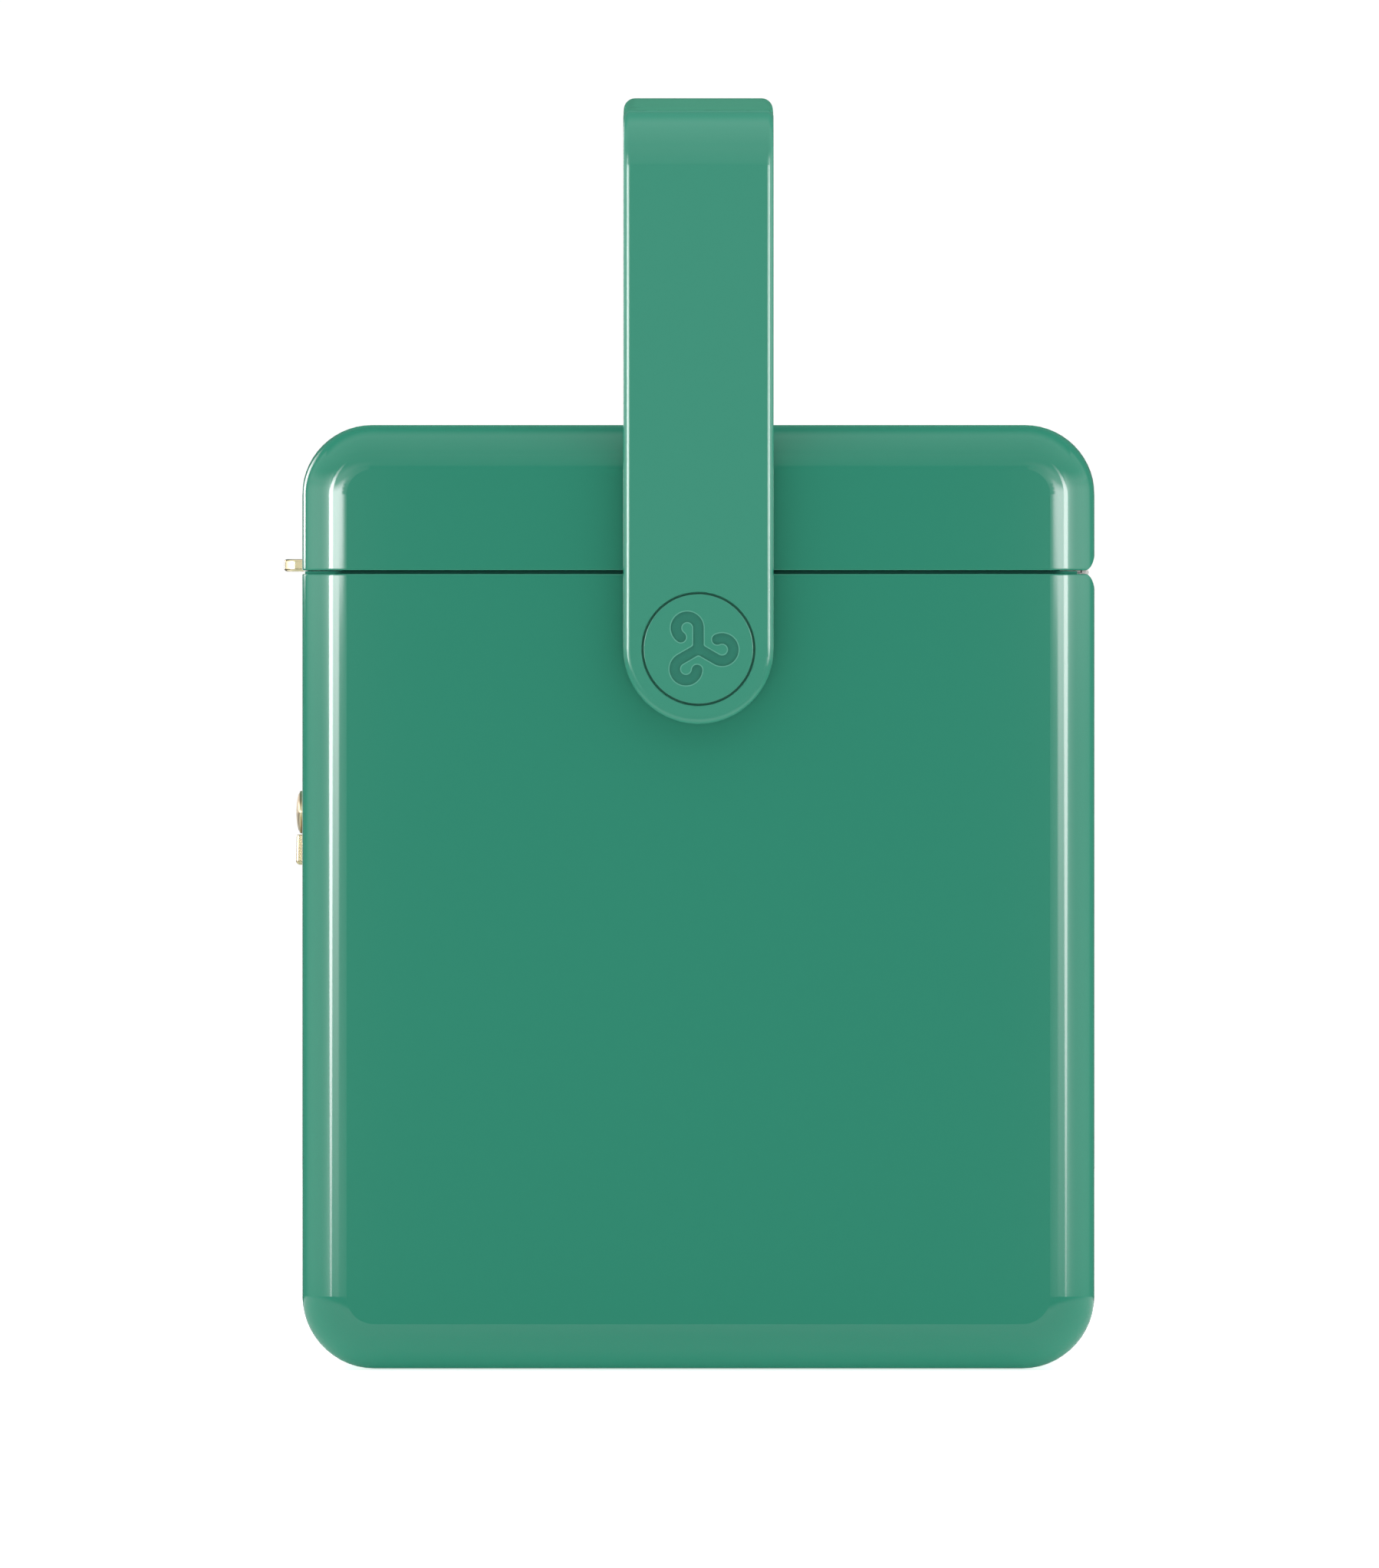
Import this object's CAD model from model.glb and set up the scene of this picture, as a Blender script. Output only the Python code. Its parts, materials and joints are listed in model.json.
import bpy, bmesh, math, json
from mathutils import Vector, Matrix

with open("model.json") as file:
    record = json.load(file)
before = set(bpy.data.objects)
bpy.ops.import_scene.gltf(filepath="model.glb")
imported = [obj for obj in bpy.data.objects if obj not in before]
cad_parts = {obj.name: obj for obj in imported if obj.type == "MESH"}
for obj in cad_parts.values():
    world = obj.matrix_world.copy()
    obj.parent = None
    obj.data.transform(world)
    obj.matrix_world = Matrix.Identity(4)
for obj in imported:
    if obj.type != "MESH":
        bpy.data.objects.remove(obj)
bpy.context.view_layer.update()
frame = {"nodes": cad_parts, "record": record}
nodes = frame["nodes"]
scene = bpy.context.scene
scene.view_settings.view_transform = "Standard"
scene.view_settings.look = "None"

# ------------------------------------------------------------------ camera
PX = 0.00024                     # metres a photograph pixel covers at the near side wall
LENS = 1000.0
REF_X = 0.139                    # plane at which that scale holds
DIST = 2044 * PX * LENS / 36.0
cam_data = bpy.data.cameras.new("camera")
cam_data.lens = LENS
cam_data.sensor_width = 36.0
cam_data.clip_start, cam_data.clip_end = 0.05, 60
cam = bpy.data.objects.new("camera", cam_data)
scene.collection.objects.link(cam)
cam.location = (REF_X + DIST, (899 - 910.6) * PX, (1784 - 1022) * PX)
cam.rotation_euler = (math.radians(90), 0, math.radians(90))
scene.camera = cam


# ------------------------------------------------------------------ node helpers
class Tree:
    """Short names for building a node tree."""

    def __init__(self, tree):
        self.t = tree
        self.n = tree.nodes
        self.n.clear()

    def new(self, kind, inputs=None, **props):
        node = self.n.new(kind)
        for k, v in props.items():
            setattr(node, k, v)
        for k, v in (inputs or {}).items():
            if hasattr(v, "is_output"):
                self.t.links.new(v, node.inputs[k])
            else:
                node.inputs[k].default_value = v
        return node

    def math(self, op, a, b=None, c=None, clamp=False):
        node = self.n.new("ShaderNodeMath")
        node.operation = op
        node.use_clamp = clamp
        for i, v in enumerate((a, b, c)):
            if v is None:
                continue
            if hasattr(v, "is_output"):
                self.t.links.new(v, node.inputs[i])
            else:
                node.inputs[i].default_value = v
        return node.outputs[0]

    def ramp(self, value, lo, hi, smooth=True):
        """0 below lo, 1 above hi (or the reverse when lo > hi)."""
        node = self.n.new("ShaderNodeMapRange")
        node.interpolation_type = "SMOOTHSTEP" if smooth else "LINEAR"
        node.clamp = True
        self.t.links.new(value, node.inputs["Value"])
        if lo < hi:
            node.inputs["From Min"].default_value, node.inputs["From Max"].default_value = lo, hi
            node.inputs["To Min"].default_value, node.inputs["To Max"].default_value = 0, 1
        else:
            node.inputs["From Min"].default_value, node.inputs["From Max"].default_value = hi, lo
            node.inputs["To Min"].default_value, node.inputs["To Max"].default_value = 1, 0
        return node.outputs["Result"]

    def curve(self, value, points):
        """Straight-line interpolation through (position, result) points."""
        x0, x1 = points[0][0], points[-1][0]
        top = max(max(v for _, v in points), 1e-6)
        node = self.n.new("ShaderNodeValToRGB")
        node.color_ramp.interpolation = "LINEAR"
        el = node.color_ramp.elements
        while len(el) > 1:
            el.remove(el[-1])
        for i, (x, v) in enumerate(points):
            e = el[0] if i == 0 else el.new((x - x0) / (x1 - x0))
            e.position = (x - x0) / (x1 - x0)
            e.color = (v / top, v / top, v / top, 1)
        self.t.links.new(self.math("DIVIDE", self.math("SUBTRACT", value, x0), x1 - x0, clamp=True), node.inputs[0])
        return self.math("MULTIPLY", node.outputs[0], top)

    def add(self, *terms):
        out = terms[0]
        for t in terms[1:]:
            out = self.math("ADD", out, t)
        return out

    def mul(self, *terms):
        out = terms[0]
        for t in terms[1:]:
            out = self.math("MULTIPLY", out, t)
        return out

    def mix(self, fac, a, b):
        node = self.n.new("ShaderNodeMix")
        node.data_type = "RGBA"
        for name, v in (("Factor", fac), ("A", a), ("B", b)):
            sock = [s for s in node.inputs if s.name == name and (name == "Factor" and s.type == "VALUE" or s.type == "RGBA")][0]
            if hasattr(v, "is_output"):
                self.t.links.new(v, sock)
            else:
                sock.default_value = v
        return [s for s in node.outputs if s.type == "RGBA"][0]

    def link(self, a, b):
        self.t.links.new(a, b)


# ------------------------------------------------------------------ studio light
# Diffuse light comes evenly from a pale room. What the gloss shows is a round light tent
# with upright strip lights on its diagonals, closed at the top by an overhead panel.
world = bpy.data.worlds.new("studio")
scene.world = world
world.use_nodes = True
world.cycles.sampling_method = "NONE"
w = Tree(world.node_tree)
coord = w.new("ShaderNodeTexCoord")
sep = w.new("ShaderNodeSeparateXYZ", {0: coord.outputs["Generated"]})
dx, dy, dz = sep.outputs
over = w.math("MULTIPLY", w.math("ARCTAN2", dz, dx), 57.29578)
panel = w.curve(over, [(0, 0.40), (24, 0.42), (42, 0.62), (60, 0.80), (98, 0.84), (112, 0.36), (122, 0.08), (180, 0.04)])
even = w.math("MAXIMUM", w.math("MULTIPLY_ADD", w.math("MULTIPLY", dx, dx), -2.30, 1.83), 0.02)
path = w.new("ShaderNodeLightPath")
soft = w.new("ShaderNodeBackground", {"Color": (1, 1, 1, 1), "Strength": even})
gloss = w.new("ShaderNodeBackground", {"Color": (1, 1, 1, 1), "Strength": panel})
seen = w.new("ShaderNodeBackground", {"Color": (1, 1, 1, 1), "Strength": 1.02})
m1 = w.new("ShaderNodeMixShader", {0: path.outputs["Is Glossy Ray"], 1: soft.outputs[0], 2: gloss.outputs[0]})
m2 = w.new("ShaderNodeMixShader", {0: path.outputs["Is Camera Ray"], 1: m1.outputs[0], 2: seen.outputs[0]})
w.new("ShaderNodeOutputWorld", {"Surface": m2.outputs[0]})

TENT_R, TENT_TOP, SEGS = 1.6, 1.55, 160
bm = bmesh.new()
rings = []
for z in (0.0, TENT_TOP):
    rings.append([bm.verts.new((TENT_R * math.cos(2 * math.pi * i / SEGS), TENT_R * math.sin(2 * math.pi * i / SEGS), z)) for i in range(SEGS)])
for i in range(SEGS):
    j = (i + 1) % SEGS
    bm.faces.new((rings[0][i], rings[0][j], rings[1][j], rings[1][i]))
me = bpy.data.meshes.new("light_tent")
bm.to_mesh(me)
bm.free()
tent = bpy.data.objects.new("light_tent", me)
scene.collection.objects.link(tent)
for flag in ("visible_camera", "visible_diffuse", "visible_transmission", "visible_volume_scatter", "visible_shadow"):
    setattr(tent, flag, False)
tm = bpy.data.materials.new("light_tent")
tm.use_nodes = True
tm.cycles.emission_sampling = "NONE"
t = Tree(tm.node_tree)
co = t.new("ShaderNodeTexCoord")
sep = t.new("ShaderNodeSeparateXYZ", {0: co.outputs["Object"]})
tx, ty, tz = sep.outputs
signed = t.math("MULTIPLY", t.math("ARCTAN2", ty, tx), 57.29578)
a = t.math("ABSOLUTE", signed)
# strong strip, slimmer towards the floor, leaning to the middle high up
amp1 = t.curve(tz, [(0.0, 9), (0.03, 10), (0.06, 15), (0.14, 20), (0.30, 23), (0.50, 23), (0.62, 15), (0.75, 8), (0.95, 3.0), (1.15, 0), (1.2, 0)])
wid1 = t.curve(tz, [(0.0, 1.6), (0.03, 1.7), (0.06, 2.2), (0.14, 3.3), (0.21, 4.0), (0.30, 4.0), (0.5, 3.6), (1.0, 2.0), (1.2, 1.0)])
mid1 = t.curve(tz, [(0.0, 41.2), (0.36, 41.2), (0.7, 37.5), (1.2, 30.0)])
off1 = t.math("SUBTRACT", t.math("ABSOLUTE", t.math("SUBTRACT", a, mid1)), wid1)
strong = t.mul(amp1, t.ramp(off1, 1.4, -1.0))
# soft strip inside it, growing with height
amp2 = t.curve(tz, [(0.0, 0.4), (0.03, 0.8), (0.056, 1.3), (0.092, 2.2), (0.14, 4.3), (0.19, 7.6), (0.21, 9.4), (0.249, 11), (0.2505, 13.0), (0.34, 13.0), (0.50, 0), (1.2, 0)])
low2 = t.curve(tz, [(0.0, 23), (0.249, 22), (0.2505, 15.5), (0.6, 15.5), (1.2, 15.5)])
soft2 = t.mul(amp2, t.ramp(t.math("SUBTRACT", a, low2), -3.0, 3.0), t.ramp(a, 40, 36))
# faint shoulders on both sides of the strips, then the side panels
level = t.curve(tz, [(0.0, 0.86), (0.06, 0.90), (0.2, 1.05), (0.236, 1.5), (0.2505, 1.85), (0.45, 1.85), (0.7, 1.0), (1.2, 0.8), (1.55, 0.75)])
inner = t.mul(t.curve(a, [(4.1, 0), (4.6, 0.30), (10, 0.55), (16, 1.1), (24, 1.7), (40, 1.7), (60, 1.7)]), level)
shoulder = t.curve(a, [(44, 4.2), (48, 3.1), (53, 2.1), (60, 1.5), (66, 1.2), (82, 1.0), (92, 0.85), (101, 0.64), (109, 0.46), (116, 0.26), (124, 0.0), (130, 0.0)])
side = t.add(t.mul(inner, t.ramp(a, 44.5, 43.5)), t.mul(shoulder, level, t.ramp(a, 43.5, 44.5)))
lower = t.mul(side, t.ramp(tz, 1.0, 0.6))
# overhead light starts at a crisp edge, all the way round but for the far side
upper = t.mul(t.ramp(tz, 0.62, 0.64), t.curve(tz, [(0.6, 0.32), (0.9, 0.42), (1.55, 0.60)]), t.ramp(a, 124, 112))
# slim light far behind on the front side, seen only by the lid's edge
rim = t.mul(t.ramp(signed, -127, -130), t.ramp(signed, -146, -142), t.ramp(tz, 0.2560, 0.2585), t.ramp(tz, 1.2, 0.5), 5.5)
# low light straight behind, which the front's gold parts pick up
behind = t.mul(t.ramp(a, 158, 166), t.ramp(tz, 0.36, 0.30), 1.0)
# a green flag hangs above it, so the crowned grip's grazing reflection stays the colour of the plastic
flag = t.mul(t.ramp(a, 165, 171), t.ramp(tz, 0.33, 0.36), t.ramp(tz, 1.4, 1.1))
base = t.curve(a, [(0, 0.15), (110, 0.15), (126, 0.10), (150, 0.12), (180, 0.18)])
white = t.add(base, lower, upper, behind)
dimmer = t.math("MULTIPLY_ADD", t.ramp(signed, 5, -5), 0.38, 0.62)
strips = t.add(t.mul(t.add(strong, soft2), dimmer), rim)
tint = [t.math("MULTIPLY_ADD", flag, g, t.math("MULTIPLY_ADD", strips, k, white)) for k, g in ((1.0, -0.10), (0.90, 0.09), (0.945, 0.0))]
rgb = t.new("ShaderNodeCombineColor", {0: tint[0], 1: tint[1], 2: tint[2]})
em = t.new("ShaderNodeEmission", {"Color": rgb.outputs[0], "Strength": 1.0})
t.new("ShaderNodeOutputMaterial", {"Surface": em.outputs[0]})
me.materials.append(tm)

# ------------------------------------------------------------------ floor
bm = bmesh.new()
bmesh.ops.create_circle(bm, cap_ends=True, segments=96, radius=7.0)
me = bpy.data.meshes.new("floor")
bm.to_mesh(me)
bm.free()
floor = bpy.data.objects.new("floor", me)
scene.collection.objects.link(floor)
floor.location.z = -0.0006
fm = bpy.data.materials.new("floor")
fm.use_nodes = True
fm.cycles.emission_sampling = "NONE"
f = Tree(fm.node_tree)
co = f.new("ShaderNodeTexCoord")
dist = f.new("ShaderNodeVectorMath", {0: co.outputs["Object"]}, operation="LENGTH")
fp = f.new("ShaderNodeLightPath")
pale = f.new("ShaderNodeBsdfDiffuse", {"Color": (0.86, 0.86, 0.86, 1)})
ring = f.math("MULTIPLY_ADD", f.ramp(dist.outputs["Value"], 0.50, 0.36), 0.74, 0.10)
ring_c = f.new("ShaderNodeCombineColor", {0: ring, 1: ring, 2: ring})
mirror = f.new("ShaderNodeBsdfDiffuse", {"Color": ring_c.outputs[0]})
glow = f.new("ShaderNodeEmission", {"Color": (1, 1, 1, 1), "Strength": 0.75})
bright = f.new("ShaderNodeAddShader", {0: pale.outputs[0], 1: glow.outputs[0]})
under = f.new("ShaderNodeAddShader", {0: f.new("ShaderNodeBsdfDiffuse", {"Color": (0.45, 0.45, 0.45, 1)}).outputs[0],
                                      1: f.new("ShaderNodeEmission", {"Color": (1, 1, 1, 1), "Strength": 0.78}).outputs[0]})
f1 = f.new("ShaderNodeMixShader", {0: fp.outputs["Is Glossy Ray"], 1: under.outputs[0], 2: mirror.outputs[0]})
f2 = f.new("ShaderNodeMixShader", {0: fp.outputs["Is Camera Ray"], 1: f1.outputs[0], 2: bright.outputs[0]})
f.new("ShaderNodeOutputMaterial", {"Surface": f2.outputs[0]})
me.materials.append(fm)


# ------------------------------------------------------------------ materials
def srgb(r, g, b):
    out = []
    for v in (r, g, b):
        v /= 255.0
        out.append(v / 12.92 if v <= 0.04045 else ((v + 0.055) / 1.055) ** 2.4)
    return out + [1.0]


def scaled(c, k):
    return (c[0] * k, c[1] * k, c[2] * k, 1.0)


def moulded(name, colour, rough, peel=0.02, grain=0.0, spec=0.5, vary=0.03, scratch=0.05, wear=0.35, corner=None):
    """Moulded plastic: faint colour flow, orange-peel bump, hairline wear in the gloss."""
    m = bpy.data.materials.new(name)
    m.use_nodes = True
    t = Tree(m.node_tree)
    co = t.new("ShaderNodeTexCoord")
    p = co.outputs["Object"]
    flow = t.new("ShaderNodeTexNoise", {"Vector": p, "Scale": 7.0, "Detail": 3.0, "Roughness": 0.5})
    col = t.mix(flow.outputs["Fac"], scaled(colour, 1 - vary), scaled(colour, 1 + vary))
    mapping = t.new("ShaderNodeMapping", {"Vector": p, "Rotation": (0.6, 0.4, 0.3), "Scale": (60, 60, 1400)})
    hair = t.new("ShaderNodeTexNoise", {"Vector": mapping.outputs[0], "Scale": 1.0, "Detail": 2.0})
    cloud = t.new("ShaderNodeTexNoise", {"Vector": p, "Scale": 38.0, "Detail": 5.0, "Roughness": 0.6})
    r = t.math("MULTIPLY_ADD", t.ramp(hair.outputs["Fac"], 0.62, 0.80), scratch, rough)
    r = t.math("MULTIPLY_ADD", t.math("SUBTRACT", cloud.outputs["Fac"], 0.5), rough * wear, r)
    bsdf = t.new("ShaderNodeBsdfPrincipled", {"Base Color": col, "Roughness": r, "Specular IOR Level": spec})
    orange = t.new("ShaderNodeTexNoise", {"Vector": p, "Scale": 260.0, "Detail": 2.0})
    bump = t.new("ShaderNodeBump", {"Height": orange.outputs["Fac"], "Strength": peel, "Distance": 0.0006})
    last = bump.outputs[0]
    if grain:
        fine = t.new("ShaderNodeTexNoise", {"Vector": p, "Scale": 2600.0, "Detail": 2.0})
        b2 = t.new("ShaderNodeBump", {"Height": fine.outputs["Fac"], "Strength": grain, "Distance": 0.0002, "Normal": last})
        last = b2.outputs[0]
    t.link(last, bsdf.inputs["Normal"])
    if corner:
        sep = t.new("ShaderNodeSeparateXYZ", {0: p})
        near = t.ramp(t.math("ABSOLUTE", sep.outputs[1]), 0.1110, 0.1150)
        t.link(t.mix(near, col, corner), bsdf.inputs["Base Color"])
    t.new("ShaderNodeOutputMaterial", {"Surface": bsdf.outputs[0]})
    return m


def metal(name, colour, rough, brush=0.0, axis=0, polished=False):
    """Metal: base colour with faint tarnish, brushed or polished."""
    m = bpy.data.materials.new(name)
    m.use_nodes = True
    t = Tree(m.node_tree)
    co = t.new("ShaderNodeTexCoord")
    p = co.outputs["Object"]
    cloud = t.new("ShaderNodeTexNoise", {"Vector": p, "Scale": 90.0, "Detail": 4.0})
    col = t.mix(cloud.outputs["Fac"], scaled(colour, 0.97 if polished else 0.93), scaled(colour, 1.02 if polished else 1.05))
    s = [2200.0, 2200.0, 2200.0]
    s[axis] = 40.0
    mp = t.new("ShaderNodeMapping", {"Vector": p, "Scale": s})
    lines = t.new("ShaderNodeTexNoise", {"Vector": mp.outputs[0], "Scale": 1.0, "Detail": 3.0})
    r = t.math("MULTIPLY_ADD", lines.outputs["Fac"], 0.16 if brush else 0.01 if polished else 0.05, rough)
    bsdf = t.new("ShaderNodeBsdfPrincipled", {"Base Color": col, "Metallic": 1.0, "Roughness": r})
    if not polished:
        bump = t.new("ShaderNodeBump", {"Height": lines.outputs["Fac"], "Strength": brush if brush else 0.01, "Distance": 0.0001})
        t.link(bump.outputs[0], bsdf.inputs["Normal"])
    t.new("ShaderNodeOutputMaterial", {"Surface": bsdf.outputs[0]})
    return m


green = moulded("green_gloss", (0.0278, 0.2480, 0.1600, 1), 0.08, peel=0.0004, vary=0.010, scratch=0.02)
handle_green = moulded("handle_green", (0.0490, 0.2880, 0.1940, 1), 0.13, peel=0.001, vary=0.010)
recess_green = moulded("cap_recess", (0.0200, 0.1880, 0.1280, 1), 0.24, peel=0.002, grain=0.03, vary=0.02)
seam_green = moulded("seam_shadow", (0.0085, 0.0600, 0.0430, 1), 0.80, peel=0.002, spec=0.06, vary=0.02,
                     corner=(0.034, 0.235, 0.160, 1))
edge_green = moulded("cap_outline", (0.1250, 0.4400, 0.3250, 1), 0.20, peel=0.002, vary=0.01)
groove_green = moulded("cap_groove", (0.0060, 0.0420, 0.0300, 1), 0.70, peel=0.002, spec=0.10, vary=0.02)
white = moulded("white_liner", srgb(238, 240, 236), 0.30, peel=0.004, grain=0.02, vary=0.004, scratch=0.0, wear=0.08)
foam = moulded("foam", srgb(238, 236, 226), 0.85, peel=0.5, grain=0.4, vary=0.02)
rubber = moulded("seal_rubber", srgb(34, 34, 35), 0.62, peel=0.1, grain=0.3, vary=0.1)
nylon = moulded("nylon", srgb(225, 222, 210), 0.45, peel=0.02, vary=0.02)
gold = metal("pale_gold", (0.92, 0.80, 0.50, 1), 0.16, polished=True)
bar_gold = metal("satin_gold", (0.84, 0.70, 0.43, 1), 0.25, polished=True)
oval_gold = metal("soft_gold", (0.92, 0.80, 0.52, 1), 0.34, polished=True)
steel = metal("brushed_steel", (0.62, 0.61, 0.59, 1), 0.24, brush=0.15)
screw = metal("screw_steel", (0.66, 0.66, 0.65, 1), 0.20, brush=0.05)

slot_material = {
    "green_plastic": green, "handle_plastic": handle_green, "white_plastic": white,
    "insulation_foam": foam, "seal_rubber": rubber, "gold_metal": gold,
    "hinge_steel": steel, "screw_steel": screw, "nylon": nylon,
}
node_slot = {s["node"]: s["material_slot"] for s in frame["record"]["subparts"]}
for name, ob in nodes.items():
    ob.data.materials.clear()
    ob.data.materials.append(slot_material[node_slot[name]])

nodes["badge_bar"].data.materials[0] = bar_gold
nodes["badge_oval"].data.materials[0] = oval_gold

# the sight lip in the seam gap is dark and dull, paler round the front corners
me = nodes["body_shell"].data
me.materials.append(seam_green)
for poly in me.polygons:
    c, n = poly.center, poly.normal
    if 0.2486 < c.z < 0.24946 and abs(n.z) < 0.5 and n.x * c.x + n.y * c.y > 0:
        poly.material_index = 1

# the sunk floor of the pivot caps' motif is a darker, finely textured satin
for name in ("pivot_cap_right", "pivot_cap_left"):
    me = nodes[name].data
    me.materials.append(recess_green)
    me.materials.append(edge_green)
    for poly in me.polygons:
        if abs(poly.normal.x) > 0.99 and abs(abs(poly.center.x) - 0.15745) < 0.0001:
            poly.material_index = 1
        elif abs(poly.normal.x) > 0.99 and abs(abs(poly.center.x) - 0.15788) < 0.00003:
            poly.material_index = 2

# so is the groove round each cap
me = nodes["handle_outer"].data
me.materials.append(groove_green)
for poly in me.polygons:
    c = poly.center
    r = math.hypot(c.y, c.z - 0.2251)
    if 0.1563 < abs(c.x) < 0.15772 and 0.0170 < r < 0.0181:
        poly.material_index = 1
